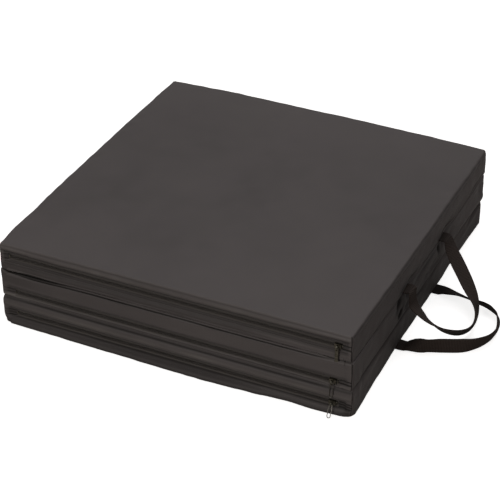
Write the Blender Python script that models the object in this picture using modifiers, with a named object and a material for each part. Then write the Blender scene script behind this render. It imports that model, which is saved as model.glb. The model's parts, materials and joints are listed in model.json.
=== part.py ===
import bpy
import bmesh
import math
from mathutils import Matrix, Vector

for old in list(bpy.data.objects):
    bpy.data.objects.remove(old, do_unlink=True)

# driving dimensions, metres
side = 0.600              # across the middles of two opposite sides
side_bulge = 0.005        # how far each side's middle stands beyond its corners
panel_h = 0.050           # one panel
panel_gap = 0.0003        # between stacked panels
corner_r = 0.013          # plan corners, and how far in the edge rounding starts
crown = 0.0025            # rise of the top panel's middle
corner_drop = 0.004       # how much lower its corners are
skin_t = 0.0010           # cover wall
foam_gap = 0.0004         # foam to cover
seat_gap = 0.0003         # pieces that touch
run_gap = 0.0003          # pieces that slide or turn
plan_spans = 8            # grid cells across a panel
hinge_out = 0.0025        # fold axes beyond the middle of a side
strip_len = 0.540
strip_t = 0.0008
slot_half = 0.0060        # half the exposed zip band
tape_over = 0.0009        # tape behind the cover, above and below
tape_t = 0.0008
tape_front = 0.0015       # tape's outer face behind the corner face
foot_w = 0.0024           # coil: narrow foot, wide head
foot_h = 0.0012
head_w = 0.0046
head_h = 0.0014
hem_t = 0.0011
hem_proud = 0.0004
stop_len = 0.0018
slider_len = 0.0110
slider_wall = 0.0013
plate_t = 0.0012
pin_out = 0.0069          # pull axis beyond the corner face
pin_r = 0.0006
bail_w = 0.0020
bail_t = 0.0010
webbing_w = 0.027
webbing_t = 0.0020
loop_start = 0.0034       # loops pivot this far beyond the middle of the side
nose_over = 0.00005       # rolled loop end, more than half the webbing's thickness

# per panel: its floor, edge roundings (height, squareness), zip height above its floor, how far
# the coil stops short of the corner, how far the slider stops short of the coil's end
panels = {
    "bottom": {"z": 0.0, "low": (0.008, 2.0), "high": (0.011, 2.0),
               "zip_up": 0.0195, "short": 0.022, "back": 0.0005, "pull": "wire",
               "pull_len": 0.0213, "lean": 28.0},
    "middle": {"z": panel_h, "low": (0.005, 4.0), "high": (0.008, 2.0),
               "zip_up": 0.0095, "short": 0.022, "back": 0.0010, "pull": "wire",
               "pull_len": 0.0275, "lean": 0.0},
    "top": {"z": 2 * panel_h, "low": (0.008, 2.0), "high": (0.009, 2.0),
            "zip_up": 0.0255, "short": 0.016, "back": 0.0003, "pull": "tab",
            "pull_len": 0.0250, "lean": 0.0},
}

half_mid = side / 2
half_corner = half_mid - side_bulge
for spec in panels.values():
    spec["zip"] = spec["z"] + spec["zip_up"]
    spec["end"] = half_corner - spec["short"]
    spec["rest"] = spec["end"] - slider_len / 2 - spec["back"]
tape_y = -(half_corner - tape_front)
foot_y = tape_y - seat_gap
head_y = foot_y - foot_h
crest_y = head_y - head_h
plate_y = crest_y - run_gap
face_y = plate_y - plate_t
pin_y = -(half_corner + pin_out)


def collection(name):
    made = bpy.data.collections.new(name)
    bpy.context.scene.collection.children.link(made)
    return made


mat_parts = collection("folding_mat")
cutters = collection("cutters")
materials = {}


def material(name, rgb, rough, metal=0.0):
    made = bpy.data.materials.new(name)
    made.use_nodes = True
    node = next(n for n in made.node_tree.nodes if n.type == "BSDF_PRINCIPLED")
    node.inputs["Base Color"].default_value = (*rgb, 1.0)
    node.inputs["Roughness"].default_value = rough
    node.inputs["Metallic"].default_value = metal
    materials[name] = made


material("cover_cloth", (0.035, 0.034, 0.036), 0.62)
material("foam_pad", (0.30, 0.32, 0.36), 0.95)
material("webbing_cloth", (0.017, 0.013, 0.012), 0.80)
material("tape_cloth", (0.020, 0.018, 0.017), 0.85)
material("coil_plastic", (0.022, 0.020, 0.019), 0.45)
material("dark_metal", (0.12, 0.11, 0.09), 0.40, 1.0)
material("bright_metal", (0.62, 0.62, 0.60), 0.28, 1.0)
material("fold_cloth", (0.025, 0.023, 0.023), 0.75)


def place(name, mesh, slot, home=None):
    obj = bpy.data.objects.new(name, mesh)
    (home or mat_parts).objects.link(obj)
    if slot:
        mesh.materials.append(materials[slot])
    if home is cutters:
        obj.hide_render = True
        obj.display_type = "WIRE"
    return obj


def as_mesh(bm, name):
    bmesh.ops.recalc_face_normals(bm, faces=bm.faces[:])
    mesh = bpy.data.meshes.new(name)
    bm.to_mesh(mesh)
    bm.free()
    return mesh


def cut(obj, tool, how="DIFFERENCE"):
    step = obj.modifiers.new(tool.name, "BOOLEAN")
    step.operation = how
    step.solver = "EXACT"
    step.object = tool


def box(name, low, high, slot=None, home=None):
    bm = bmesh.new()
    bmesh.ops.create_cube(bm, size=1.0)
    low, high = Vector(low), Vector(high)
    bmesh.ops.scale(bm, vec=high - low, verts=bm.verts[:])
    bmesh.ops.translate(bm, vec=(low + high) / 2, verts=bm.verts[:])
    return place(name, as_mesh(bm, name), slot, home)


def prism(name, outline, x_low, x_high, slot=None, home=None):
    # outline in (y, z), drawn out along x
    bm = bmesh.new()
    face = bm.faces.new([bm.verts.new((x_low, y, z)) for y, z in outline])
    out = bmesh.ops.extrude_face_region(bm, geom=[face])
    moved = [v for v in out["geom"] if isinstance(v, bmesh.types.BMVert)]
    bmesh.ops.translate(bm, vec=(x_high - x_low, 0, 0), verts=moved)
    return place(name, as_mesh(bm, name), slot, home)


def soften(obj, width, segments=2, angle=40.0):
    step = obj.modifiers.new("soften", "BEVEL")
    step.width = width
    step.segments = segments
    step.limit_method = "ANGLE"
    step.angle_limit = math.radians(angle)


def bulge(along):
    s = min(1.0, abs(along) / half_corner)
    return side_bulge * (1 - s ** 4)


def panel_form(name, spec, inset, slot, home=None, fine=True, crowned=False):
    z_low = spec["z"] + panel_gap / 2 * (spec["z"] > 0) + inset
    z_high = spec["z"] + panel_h - panel_gap / 2 - inset
    half = Vector((half_corner - inset, half_corner - inset, (z_high - z_low) / 2))
    flat_r = corner_r - inset
    ends = [(spec["low"][0] - inset, spec["low"][1]), (spec["high"][0] - inset, spec["high"][1])]
    core = (half.x - flat_r, half.y - flat_r)
    turn = math.tan(math.radians(22.5))
    bm = bmesh.new()
    bmesh.ops.create_cube(bm, size=2.0)
    bmesh.ops.scale(bm, vec=half, verts=bm.verts[:])
    lines = []
    for axis in (0, 1):
        lines += [(axis, core[axis] * (2 * k / plan_spans - 1)) for k in range(plan_spans + 1)]
        if fine:
            lines += [(axis, s * (core[axis] + flat_r * turn)) for s in (-1, 1)]
    low_r, high_r = ends[0][0], ends[1][0]
    lines += [(2, -half.z + low_r), (2, half.z - high_r), (2, (low_r - high_r) / 2)]
    if fine:
        lines += [(2, -half.z + low_r * (1 - turn)), (2, half.z - high_r * (1 - turn))]
    for axis, at in lines:
        co, no = Vector(), Vector()
        co[axis], no[axis] = at, 1.0
        bmesh.ops.bisect_plane(bm, geom=bm.verts[:] + bm.edges[:] + bm.faces[:],
                               plane_co=co, plane_no=no, dist=1e-6)
    for v in bm.verts:
        p = v.co.copy()
        end_r, power = ends[p.z > 0]
        z_core = (half.z - end_r) if p.z > 0 else -(half.z - end_r)
        beyond = (p.z - z_core) / end_r if (p.z - z_core) * z_core > 0 else 0.0
        q = Vector((max(-core[0], min(core[0], p.x)), max(-core[1], min(core[1], p.y)), 0))
        dx, dy = (p.x - q.x) / flat_r, (p.y - q.y) / flat_r
        flat = math.hypot(dx, dy)
        length = (flat ** power + abs(beyond) ** power) ** (1 / power)
        if length > 1e-9:
            p.x = q.x + flat_r * dx / length
            p.y = q.y + flat_r * dy / length
            if beyond:
                p.z = z_core + end_r * beyond / length
        sx, sy = p.x / half.x, p.y / half.y
        rise = (p.z + half.z) / (2 * half.z)
        p.x += sx * bulge(p.y)
        p.y += sy * bulge(sx * half.x)
        p.z += (z_low + z_high) / 2
        if crowned:
            p.z += rise * (crown * (1 - sx * sx) * (1 - sy * sy) - corner_drop * (sx * sy) ** 4)
        v.co = p
    return place(name, as_mesh(bm, name), slot, home)


def edge_curve(spec_end, edge_z, up, offset, steps):
    # points (out, z) along a rounded edge, from the side face to the crevice, offset outward
    radius, power = spec_end
    raw = []
    for k in range(steps * 4 + 1):
        a = math.radians(90) * k / (steps * 4)
        c, s = math.cos(a), math.sin(a)
        length = (c ** power + s ** power) ** (1 / power)
        raw.append((half_mid - corner_r + corner_r * c / length,
                    edge_z - up * (radius - radius * s / length)))
    points = []
    for k in range(len(raw)):
        a, b = raw[max(0, k - 1)], raw[min(len(raw) - 1, k + 1)]
        tx, tz = b[0] - a[0], b[1] - a[1]
        size = math.hypot(tx, tz)
        nx, nz = up * tz / size, -up * tx / size
        points.append((raw[k][0] + nx * offset, raw[k][1] + nz * offset))
    return points


def chord_bulge(along):
    # the bulge as the cover's grid draws it, straight between its lines
    edge = half_corner - corner_r
    step = 2 * edge / plan_spans
    k = max(0, min(plan_spans - 1, int((along + edge) // step)))
    a = -edge + k * step
    t = (along - a) / step
    return bulge(a) * (1 - t) + bulge(a + step) * t


def hinge_strip(name, lower, upper, facing):
    # a folded strip that lines the crevice between two rounded edges
    join = panels[upper]["z"]
    mid_off = seat_gap + strip_t / 2
    arms = []
    for spec_end, up in ((panels[lower]["high"], 1), (panels[upper]["low"], -1)):
        edge = join - up * panel_gap / 2
        pts = edge_curve(spec_end, edge, up, mid_off, 4)
        pts = [p for p in pts if up * (join - p[1]) > strip_t / 2 + 0.0001]
        arms.append([(half_mid + mid_off, pts[0][1] - up * 0.004)] + pts)
    inner = max(arm[-1][0] for arm in arms)
    arms = [[p for p in arm if p[0] >= inner - 1e-6] for arm in arms]
    outline = arms[0] + arms[1][::-1]
    edge = half_corner - corner_r
    stations = [edge * (2 * k / plan_spans - 1) for k in range(1, plan_spans)]
    stations = [-strip_len / 2] + stations + [strip_len / 2]
    bm = bmesh.new()
    rows = []
    for x in stations:
        shift = chord_bulge(x) - side_bulge
        rows.append([bm.verts.new((x, facing * (out + shift), z)) for out, z in outline])
    for a, b in zip(rows, rows[1:]):
        for k in range(len(outline) - 1):
            bm.faces.new((a[k], a[k + 1], b[k + 1], b[k]))
    obj = place(name, as_mesh(bm, name), "fold_cloth")
    step = obj.modifiers.new("thickness", "SOLIDIFY")
    step.thickness = strip_t
    step.offset = 0.0
    step.use_even_offset = True


def hem(name, spec, sign, length):
    # folded cover edge, straight at the tape and bulged with the face
    z_in = spec["zip"] + sign * (slot_half - seat_gap)
    z_out = z_in - sign * hem_t
    bm = bmesh.new()
    rows = []
    for k in range(plan_spans + 3):
        x = length * (2 * k / (plan_spans + 2) - 1)
        front = -(half_corner + bulge(x) + hem_proud)
        rows.append([bm.verts.new(p) for p in ((x, foot_y, z_in), (x, front + 0.0004, z_in),
                     (x, front, (z_in + z_out) / 2), (x, front + 0.0004, z_out),
                     (x, foot_y, z_out))])
    for a, b in zip(rows, rows[1:]):
        for k in range(5):
            bm.faces.new((a[k], a[(k + 1) % 5], b[(k + 1) % 5], b[k]))
    bm.faces.new(rows[0])
    bm.faces.new(rows[-1][::-1])
    place(name, as_mesh(bm, name), "cover_cloth")


def tube(name, points, radius, slot):
    curve = bpy.data.curves.new(name, "CURVE")
    curve.dimensions = "3D"
    curve.bevel_depth = radius
    curve.bevel_resolution = 2
    line = curve.splines.new("POLY")
    line.points.add(len(points) - 1)
    for item, p in zip(line.points, points):
        item.co = (*p, 1.0)
    line.use_cyclic_u = True
    shape = bpy.data.objects.new(name + "_path", curve)
    cutters.objects.link(shape)
    mesh = bpy.data.meshes.new_from_object(shape.evaluated_get(bpy.context.evaluated_depsgraph_get()))
    bpy.data.objects.remove(shape, do_unlink=True)
    mesh.name = name
    mesh.materials.clear()
    bm = bmesh.new()
    bm.from_mesh(mesh)
    bmesh.ops.remove_doubles(bm, verts=bm.verts[:], dist=0.00001)
    bmesh.ops.recalc_face_normals(bm, faces=bm.faces[:])
    bm.to_mesh(mesh)
    bm.free()
    return place(name, mesh, slot)


def ribbon(name, path, turns, slot, floor=None):
    # path: centre points; turns: (fraction of length, upper edge direction)
    pts = [Vector(p) for p in path]
    # smooth the path with a spline through the points
    fine = []
    for k in range(len(pts) - 1):
        p0, p1, p2, p3 = pts[max(0, k - 1)], pts[k], pts[k + 1], pts[min(len(pts) - 1, k + 2)]
        for j in range(2):
            t = j / 2
            fine.append(0.5 * ((2 * p1) + (p2 - p0) * t + (2 * p0 - 5 * p1 + 4 * p2 - p3) * t * t
                               + (3 * p1 - p0 - 3 * p2 + p3) * t ** 3))
    fine.append(pts[-1])
    total, reach = 0.0, [0.0]
    for a, b in zip(fine, fine[1:]):
        total += (b - a).length
        reach.append(total)
    bm = bmesh.new()
    rows = []
    for k, p in enumerate(fine):
        f = reach[k] / total
        i = max(j for j in range(len(turns)) if turns[j][0] <= f + 1e-9)
        i = min(i, len(turns) - 2)
        t = (f - turns[i][0]) / (turns[i + 1][0] - turns[i][0])
        wide = Vector(turns[i][1]).lerp(Vector(turns[i + 1][1]), t)
        along = (fine[min(len(fine) - 1, k + 1)] - fine[max(0, k - 1)]).normalized()
        if 0 < k < len(fine) - 1:
            wide = (wide - along * wide.dot(along)).normalized()
        if floor is not None:
            rise = abs(wide.z)
            p.z = floor + rise * webbing_w / 2 + math.sqrt(1 - rise * rise) * webbing_t / 2
        rows.append([bm.verts.new(p + wide * (webbing_w * (c - 0.5))) for c in (0, 0.5, 1)])
    for a, b in zip(rows, rows[1:]):
        for k in range(2):
            bm.faces.new((a[k], a[k + 1], b[k + 1], b[k]))
    obj = place(name, as_mesh(bm, name), slot)
    step = obj.modifiers.new("thickness", "SOLIDIFY")
    step.thickness = webbing_t
    step.offset = 0.0
    step.use_even_offset = True
    return obj


for key, spec in panels.items():
    z_zip = spec["zip"]
    end = spec["end"]
    slot_end = end + run_gap + stop_len + 0.0007
    crowned = key == "top"
    cover = panel_form("cover_" + key, spec, 0.0, "cover_cloth", crowned=crowned)
    cavity = panel_form("cavity_" + key, spec, skin_t, None, cutters, crowned=crowned)
    slot = box("slot_" + key, (-slot_end, -half_mid - 0.015, z_zip - slot_half),
               (slot_end, -half_mid + 0.018, z_zip + slot_half), None, cutters)
    cut(cover, cavity)
    cut(cover, slot)
    foam = panel_form("foam_" + key, spec, skin_t + foam_gap, "foam_pad", fine=False, crowned=crowned)
    z_room = slot_half + tape_over + 0.0008
    low = z_zip - z_room
    if low < spec["z"] + skin_t + foam_gap + 0.004:
        low = spec["z"] - 0.002
    room = box("room_" + key, (-slot_end - 0.0006, -half_mid - 0.015, low),
               (slot_end + 0.0006, tape_y + tape_t + seat_gap, z_zip + z_room), None, cutters)
    cut(foam, room)
    tape_half = slot_half + tape_over
    tape_end = slot_end - 0.0003
    box("zip_tape_" + key, (-tape_end, tape_y, z_zip - tape_half),
        (tape_end, tape_y + tape_t, z_zip + tape_half), "tape_cloth")
    f, h = foot_w / 2, head_w / 2
    coil = [(foot_y, -f), (foot_y, f), (head_y, f), (head_y, h), (crest_y + 0.0004, h),
            (crest_y, h - 0.0006), (crest_y, -h + 0.0006), (crest_y + 0.0004, -h),
            (head_y, -h), (head_y, -f)]
    prism("zip_chain_" + key, [(y, z_zip + z) for y, z in coil], -end, end, "coil_plastic")
    for word, s in (("left", -1), ("right", 1)):
        a, b = s * (end + seat_gap), s * (end + seat_gap + stop_len)
        stop = box("zip_stop_" + word + "_" + key, (min(a, b), crest_y, z_zip - h),
                   (max(a, b), foot_y, z_zip + h), "dark_metal")
        soften(stop, 0.0004, 1)
    hem("zip_hem_upper_" + key, spec, 1, slot_end - 0.0003)
    hem("zip_hem_lower_" + key, spec, -1, slot_end - 0.0003)
    # slider: a plate over the coil whose lips hook behind its head
    x0, x1 = spec["rest"] - slider_len / 2, spec["rest"] + slider_len / 2
    inner, lip = h + run_gap + 0.0001, f + run_gap + 0.0001
    outer = inner + slider_wall
    back = foot_y - run_gap
    lip_y = head_y + run_gap
    ring = [(face_y, -outer), (face_y, outer), (back, outer), (back, lip), (lip_y, lip),
            (lip_y, inner), (plate_y, inner), (plate_y, -inner), (lip_y, -inner),
            (lip_y, -lip), (back, -lip), (back, -outer)]
    slider_slot = "dark_metal" if key == "top" else "bright_metal"
    slider = prism("slider_" + key, [(y, z_zip + z) for y, z in ring], x0, x1, slider_slot)
    hole = 0.0022
    wall = hole + bail_t
    top_in, top_out = pin_y - pin_r - 0.0005, pin_y - pin_r - 0.0005 - bail_t
    arch = [(face_y + 0.0004, -wall), (pin_y, -wall), (top_out, -hole + 0.0002),
            (top_out, hole - 0.0002), (pin_y, wall), (face_y + 0.0004, wall),
            (face_y + 0.0004, hole), (top_in, hole), (top_in, -hole), (face_y + 0.0004, -hole)]
    bail = prism("bail_" + key, [(y, z_zip + z) for y, z in arch], spec["rest"] - bail_w / 2,
                 spec["rest"] + bail_w / 2, None, cutters)
    cut(slider, bail, "UNION")
    # pull: hangs on a bar through the bail
    reach, tilt = spec["pull_len"], math.radians(spec["lean"])
    x_mid = spec["rest"]
    side_in = bail_w / 2 + run_gap + 0.0002

    def lay(x, down, out=0.0):
        y, z = -math.sin(tilt) * down - math.cos(tilt) * out, -math.cos(tilt) * down + math.sin(tilt) * out
        return Vector((x_mid + x, pin_y + y, z_zip + z))
    if spec["pull"] == "tab":
        arm = 2 * pin_r
        tab = box("pull_" + key, (x_mid - side_in - arm, pin_y - pin_r, z_zip - reach),
                  (x_mid + side_in + arm, pin_y + pin_r, z_zip + pin_r), "dark_metal")
        window = box("window_" + key, (x_mid - side_in, pin_y - 0.005, z_zip - 0.0046),
                     (x_mid + side_in, pin_y + 0.005, z_zip - pin_r), None, cutters)
        soften(tab, 0.0003, 1)
        cut(tab, window)
    else:
        wide = side_in + pin_r + 0.0005
        half_bar = side_in + pin_r
        shape = [(-half_bar + 0.0004, 0), (half_bar - 0.0004, 0), (half_bar, 0.0006), (half_bar, 0.004),
                 (wide, 0.007), (wide, reach - 0.003), (wide * 0.6, reach - pin_r - 0.0005),
                 (0.0, reach - pin_r), (-wide * 0.6, reach - pin_r - 0.0005), (-wide, reach - 0.003),
                 (-wide, 0.007), (-half_bar, 0.004), (-half_bar, 0.0006)]
        tube("pull_" + key, [lay(x, d) for x, d in shape], pin_r, "bright_metal")

hinge_strip("hinge_strip_upper", "middle", "top", -1)
hinge_strip("hinge_strip_lower", "bottom", "middle", 1)

# webbing: two loops on the right side, each sewn in at both ends
half_web = webbing_w / 2
floor_z = seat_gap
lower_z = floor_z + webbing_t / 2
seam_z = 2 * panel_h
nose_r = webbing_t / 2 + nose_over
lower_ends = (-0.0971, 0.0708)
upper_ends = (-0.0830, 0.0780)


def tuck(spec, tab_top):
    # how far behind the side a tab can start under the rounded lower edge
    radius = spec["low"][0]
    rise = tab_top + seat_gap - spec["z"] - panel_gap / 2 * (spec["z"] > 0)
    return corner_r * (1 - math.sqrt(1 - ((radius - rise) / radius) ** 2))


for word, where in (("near", 0), ("far", 1)):
    for level, z_mid, ends, home in (("lower", lower_z, lower_ends, "bottom"),
                                     ("upper", seam_z, upper_ends, "top")):
        y = ends[where]
        tab_start = half_mid - tuck(panels[home], z_mid + webbing_t / 2)
        tab = box("handle_tab_%s_%s" % (level, word),
                  (tab_start, y - half_web, z_mid - webbing_t / 2),
                  (half_mid + loop_start - nose_r - seat_gap, y + half_web, z_mid + webbing_t / 2),
                  "webbing_cloth")

x_loop = half_mid + loop_start


def add_noses(loop, ends, z_mid):
    # rolled ends, round about the line that the loop swings on
    for word, y in zip(("near", "far"), ends):
        bm = bmesh.new()
        bmesh.ops.create_cone(bm, cap_ends=True, segments=20, radius1=nose_r, radius2=nose_r,
                              depth=webbing_w - 0.0002)
        bmesh.ops.rotate(bm, verts=bm.verts[:], matrix=Matrix.Rotation(math.radians(90), 3, "X"))
        bmesh.ops.translate(bm, verts=bm.verts[:], vec=(x_loop, y, z_mid))
        name = "nose_%s_%s" % (loop.name, word)
        cut(loop, place(name, as_mesh(bm, name), None, cutters), "UNION")


# beyond the side, along it
lower_path = [(0.0074, -0.0971), (0.0125, -0.0972), (0.02, -0.0988), (0.03, -0.1003),
              (0.0385, -0.0995), (0.0453, -0.097), (0.0524, -0.0936), (0.0594, -0.09),
              (0.0664, -0.0868), (0.0734, -0.0838), (0.0804, -0.0807), (0.0874, -0.0773),
              (0.0944, -0.0735), (0.1015, -0.0689), (0.108, -0.063), (0.114, -0.056),
              (0.1194, -0.0479), (0.1237, -0.0385), (0.1266, -0.0279), (0.1275, -0.0162),
              (0.126, -0.0038), (0.123, 0.0087), (0.1189, 0.0208), (0.1127, 0.0308), (0.1057, 0.0379),
              (0.0976, 0.0428), (0.0896, 0.0466), (0.0822, 0.049), (0.075, 0.0503), (0.065, 0.0535),
              (0.0536, 0.0569), (0.0442, 0.06), (0.0333, 0.063), (0.0245, 0.0655), (0.015, 0.0688),
              (0.0079, 0.0705)]
# (fraction of length, upper edge direction)
lower_turns = [(0.0, (0, 1, 0)), (0.012, (0, 1, 0)), (0.03, (0, 0.8, 0.6)), (0.055, (0, 0.35, 0.93)),
               (0.085, (0.02, -0.03, 1)), (0.115, (0.05, -0.14, 0.98)), (0.15, (0.03, -0.08, 1)),
               (0.18, (0, 0, 1)), (0.28, (0, 0, 1)), (0.3, (0.04, -0.05, 1)),
               (0.325, (0.12, -0.12, 0.98)), (0.35, (0.19, -0.15, 0.97)), (0.38, (0.24, -0.16, 0.96)),
               (0.405, (0.31, -0.15, 0.94)), (0.435, (0.34, -0.13, 0.93)),
               (0.465, (0.32, -0.08, 0.95)), (0.495, (0.24, -0.03, 0.97)), (0.53, (0.07, 0, 1)),
               (0.57, (-0.1, -0.01, 0.99)), (0.605, (-0.22, -0.06, 0.97)),
               (0.645, (-0.31, -0.18, 0.93)), (0.68, (-0.31, -0.31, 0.9)),
               (0.71, (-0.31, -0.43, 0.85)), (0.74, (-0.28, -0.53, 0.8)),
               (0.765, (-0.21, -0.62, 0.75)), (0.79, (-0.12, -0.68, 0.72)), (0.83, (0, -0.75, 0.66)),
               (0.87, (0, -0.82, 0.57)), (0.91, (0, -0.91, 0.41)), (0.95, (0, -0.98, 0.2)),
               (0.985, (0, -1, 0)), (1.0, (0, -1, 0))]
lower_run = [(half_mid + out, y, floor_z) for out, y in lower_path]
low_path = [(x_loop, lower_ends[0], floor_z)] + lower_run + [(x_loop, lower_ends[1], floor_z)]
low_loop = ribbon("handle_lower", low_path, lower_turns, "webbing_cloth", floor_z)

# beyond the side, along it, below the seam
upper_path = [(0.0083, -0.0832, 0.0006), (0.0102, -0.085, 0.005), (0.0115, -0.087, 0.0125),
              (0.0135, -0.0885, 0.0205), (0.019, -0.0905, 0.027), (0.027, -0.093, 0.0318),
              (0.0359, -0.0945, 0.0375), (0.0451, -0.0924, 0.0449), (0.056, -0.0865, 0.0543),
              (0.0658, -0.0777, 0.0631), (0.0756, -0.0654, 0.0717), (0.0835, -0.0511, 0.0782),
              (0.0884, -0.0354, 0.0823), (0.0904, -0.0187, 0.0838), (0.0889, -0.0025, 0.0823),
              (0.0845, 0.0128, 0.0782), (0.0771, 0.0264, 0.0725), (0.0678, 0.0374, 0.0651),
              (0.0579, 0.0462, 0.0567), (0.0476, 0.0541, 0.0469), (0.0371, 0.0605, 0.0362),
              (0.028, 0.0655, 0.0262), (0.02, 0.07, 0.0165), (0.0145, 0.0745, 0.0085),
              (0.0112, 0.0775, 0.0035), (0.0083, 0.078, 0.0006)]
upper_turns = [(0.0, (0, 1, 0)), (0.025, (0, 1, 0)), (0.08, (0.134, 0.977, -0.167)),
               (0.12, (0.122, 0.939, -0.321)), (0.16, (-0.18, 0.931, -0.316)),
               (0.2, (-0.548, 0.789, -0.278)), (0.24, (-0.707, 0.62, -0.34)),
               (0.28, (-0.8, 0.396, -0.452)), (0.33, (-0.785, 0.213, -0.581)),
               (0.42, (-0.636, -0.005, -0.772)), (0.48, (-0.433, -0.021, -0.901)),
               (0.52, (-0.24, 0.053, -0.969)), (0.56, (0.001, 0.223, -0.975)),
               (0.6, (0.213, 0.392, -0.895)), (0.64, (0.377, 0.598, -0.707)),
               (0.69, (0.513, 0.775, -0.369)), (0.75, (0.545, 0.827, -0.138)),
               (0.86, (0.485, 0.875, 0.009)), (0.93, (0.43, 0.885, -0.177)), (0.975, (0, 1, 0)),
               (1.0, (0, 1, 0))]
upper_run = [(half_mid + out, y, seam_z - drop) for out, y, drop in upper_path]
high_path = [(x_loop, upper_ends[0], seam_z)] + upper_run + [(x_loop, upper_ends[1], seam_z)]
high_loop = ribbon("handle_upper", high_path, upper_turns, "webbing_cloth")
add_noses(low_loop, lower_ends, lower_z)
add_noses(high_loop, upper_ends, seam_z)
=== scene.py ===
import bpy
import bmesh
import json
import math
import numpy as np
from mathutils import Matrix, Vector
from mathutils.bvhtree import BVHTree

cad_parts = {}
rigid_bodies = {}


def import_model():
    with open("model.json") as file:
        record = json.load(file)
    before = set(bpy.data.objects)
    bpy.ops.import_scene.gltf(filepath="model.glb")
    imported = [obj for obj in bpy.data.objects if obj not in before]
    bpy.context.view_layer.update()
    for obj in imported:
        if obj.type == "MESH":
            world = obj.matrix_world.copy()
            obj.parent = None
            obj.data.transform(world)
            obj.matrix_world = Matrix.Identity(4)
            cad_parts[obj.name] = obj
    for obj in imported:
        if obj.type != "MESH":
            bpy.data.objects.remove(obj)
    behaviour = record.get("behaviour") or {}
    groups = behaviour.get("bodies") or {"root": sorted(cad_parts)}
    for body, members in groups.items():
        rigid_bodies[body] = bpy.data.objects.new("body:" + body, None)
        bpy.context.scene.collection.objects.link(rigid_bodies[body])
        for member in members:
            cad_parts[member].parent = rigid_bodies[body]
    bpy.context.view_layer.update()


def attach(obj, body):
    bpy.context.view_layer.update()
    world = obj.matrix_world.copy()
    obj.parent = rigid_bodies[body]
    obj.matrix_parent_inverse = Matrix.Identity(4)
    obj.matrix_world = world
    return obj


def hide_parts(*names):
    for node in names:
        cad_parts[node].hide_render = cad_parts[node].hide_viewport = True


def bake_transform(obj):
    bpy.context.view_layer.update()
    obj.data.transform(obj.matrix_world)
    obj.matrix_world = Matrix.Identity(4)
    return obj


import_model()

scene = bpy.context.scene
scene.view_settings.view_transform = "Standard"


class Wire:
    # wraps an output socket, so that shader maths reads as plain expressions
    def __init__(self, tree, out):
        self.tree, self.out = tree, out

    def calc(self, operation, *values):
        return makeNode(self.tree, "ShaderNodeMath", {"operation": operation}, *values)

    def __add__(self, other): return self.calc("ADD", self, other)
    def __sub__(self, other): return self.calc("SUBTRACT", self, other)
    def __mul__(self, other): return self.calc("MULTIPLY", self, other)
    def __radd__(self, other): return self.calc("ADD", other, self)
    def __rsub__(self, other): return self.calc("SUBTRACT", other, self)
    def __rmul__(self, other): return self.calc("MULTIPLY", other, self)
    def sine(self): return self.calc("SINE", self)
    def least(self, other): return self.calc("MINIMUM", self, other)
    def clipped(self): return self.calc("MAXIMUM", self, 0.0).least(1.0)


def makeNode(tree, kind, settings, *values, **named):
    # values go to the sockets in order, or by name; pick is the output that is wanted
    node = tree.nodes.new(kind)
    for key, value in settings.items():
        if key != "pick":
            setattr(node, key, value)
    for key, value in [*enumerate(values), *named.items()]:
        socket = node.inputs[key]
        if isinstance(value, Wire):
            tree.links.new(value.out, socket)
        else:
            socket.default_value = value
    pick = settings.get("pick", 0)
    return Wire(tree, node.outputs[pick]) if len(node.outputs) else node


def newMaterial(name, fixed):
    # fixed: plain values of the shader's own sockets
    material = bpy.data.materials.new(name)
    material.use_nodes = True
    tree = material.node_tree
    shader = next(n for n in tree.nodes if n.type == "BSDF_PRINCIPLED")
    for key, value in fixed.items():
        shader.inputs[key].default_value = value
    return material, tree, shader


def join(tree, wire, shader, socket):
    tree.links.new(wire.out, shader.inputs[socket])


def bumpFrom(tree, shader, height, distance, strength=1.0):
    bump = makeNode(tree, "ShaderNodeBump", {}, Height=height, Distance=distance, Strength=strength)
    join(tree, bump, shader, "Normal")


def objectPlace(tree):
    return makeNode(tree, "ShaderNodeTexCoord", {"pick": "Object"})


def noiseOn(tree, place, scale, detail, rough=0.5):
    return makeNode(tree, "ShaderNodeTexNoise", {}, Vector=place, Scale=scale, Detail=detail, Roughness=rough)


def clothPlace(tree):
    # the cloth's own millimetres: both together, then each by itself
    uv = makeNode(tree, "ShaderNodeUVMap", {"uv_map": "clothUV"})
    split = tree.nodes.new("ShaderNodeSeparateXYZ")
    tree.links.new(uv.out, split.inputs[0])
    return uv, Wire(tree, split.outputs[0]), Wire(tree, split.outputs[1])


def mixColour(tree, factor, a, b):
    node = tree.nodes.new("ShaderNodeMix")
    node.data_type = "RGBA"
    tree.links.new(factor.out, node.inputs["Factor"])
    for socket, value in ((node.inputs[6], a), (node.inputs[7], b)):
        if isinstance(value, Wire):
            tree.links.new(value.out, socket)
        else:
            socket.default_value = (*value, 1.0)
    return Wire(tree, node.outputs[2])


# deep is the painted shade colour of crevices and shadowed places; the colour after it is the painted highlight
# colour of lit edges and ridges
coverLook = dict(dark=(0.059, 0.054, 0.0545), light=(0.096, 0.087, 0.0885), deep=(0.006, 0.005, 0.0045),
                 paintedHighlight=(0.105, 0.098, 0.094), roughness=0.50, sheen=0.10, specular=0.22,
                 threadsPerMm=1.25, weaveDepth=0.00006, patchScale=5.0, grainScale=420.0)


def withPaintedShading(tree, tone, look):
    # the painted shading attribute runs from -1, full painted shade in crevices and shadows, to 1, a full painted
    # highlight on lit edges and ridges
    fold = makeNode(tree, "ShaderNodeAttribute", {"attribute_name": "foldShade", "pick": "Fac"})
    cloth = mixColour(tree, tone.clipped(), look["dark"], look["light"])
    cloth = mixColour(tree, (fold * -1.0).clipped(), cloth, look["deep"])
    return mixColour(tree, fold.clipped(), cloth, look["paintedHighlight"])


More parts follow.
